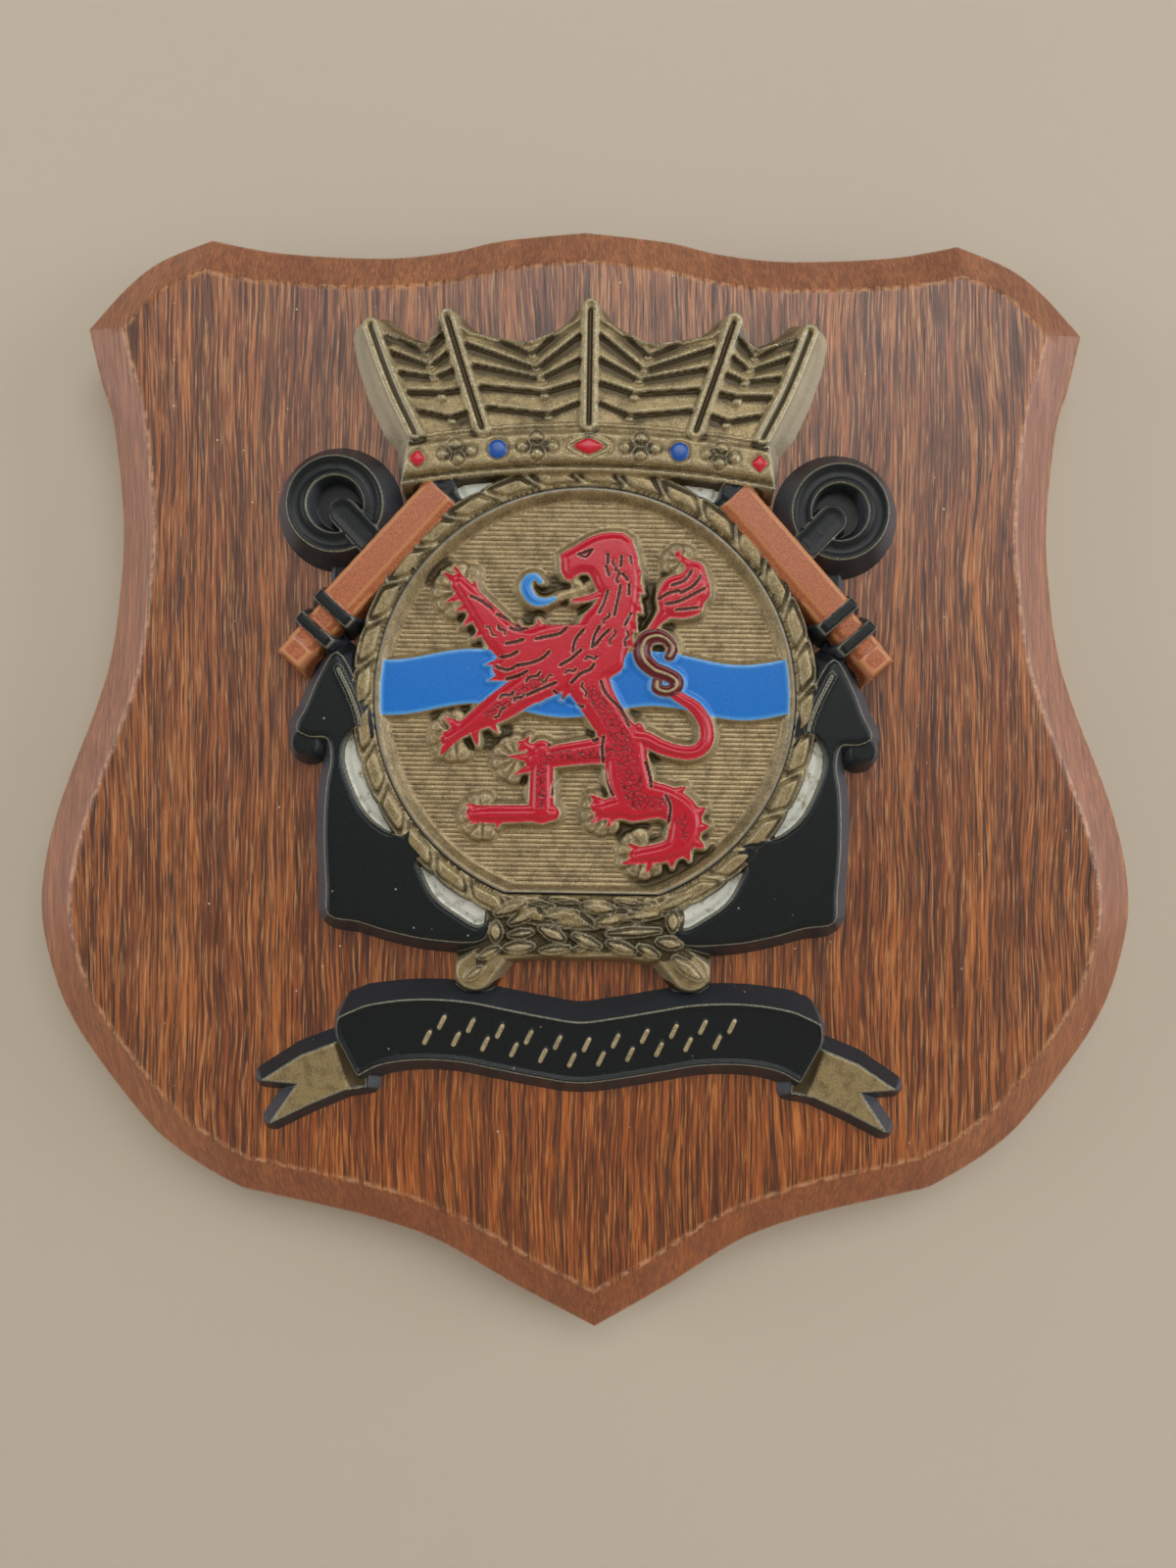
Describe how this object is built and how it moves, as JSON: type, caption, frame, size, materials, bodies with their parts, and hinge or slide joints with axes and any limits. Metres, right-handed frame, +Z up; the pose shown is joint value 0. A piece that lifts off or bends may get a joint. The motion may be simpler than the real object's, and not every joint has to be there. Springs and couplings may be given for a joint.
{
  "type": "heraldic wall plaque",
  "caption": "Shield-shaped hardwood wall plaque with a painted cast crest: crown, crossed anchors, rope ring, round lion badge, knot and waving scroll.",
  "frame": {"origin": "middle of the board's width and height, on its flat back face", "axes": "+Z up, +X to the viewer's right, the front faces -Y and the back lies in the plane Y = 0"},
  "size_m": [0.1604, 0.0225, 0.1614],
  "materials": {
    "board": "satin lacquer",
    "casting": "antiqued, partly enamelled black, white and orange-brown",
    "badge": "gold ground with gloss red and blue enamel"
  },
  "bodies": {
    "root": {"shield_board": "board", "crest_casting": "casting", "badge_roundel": "badge"}
  },
  "joints": []
}
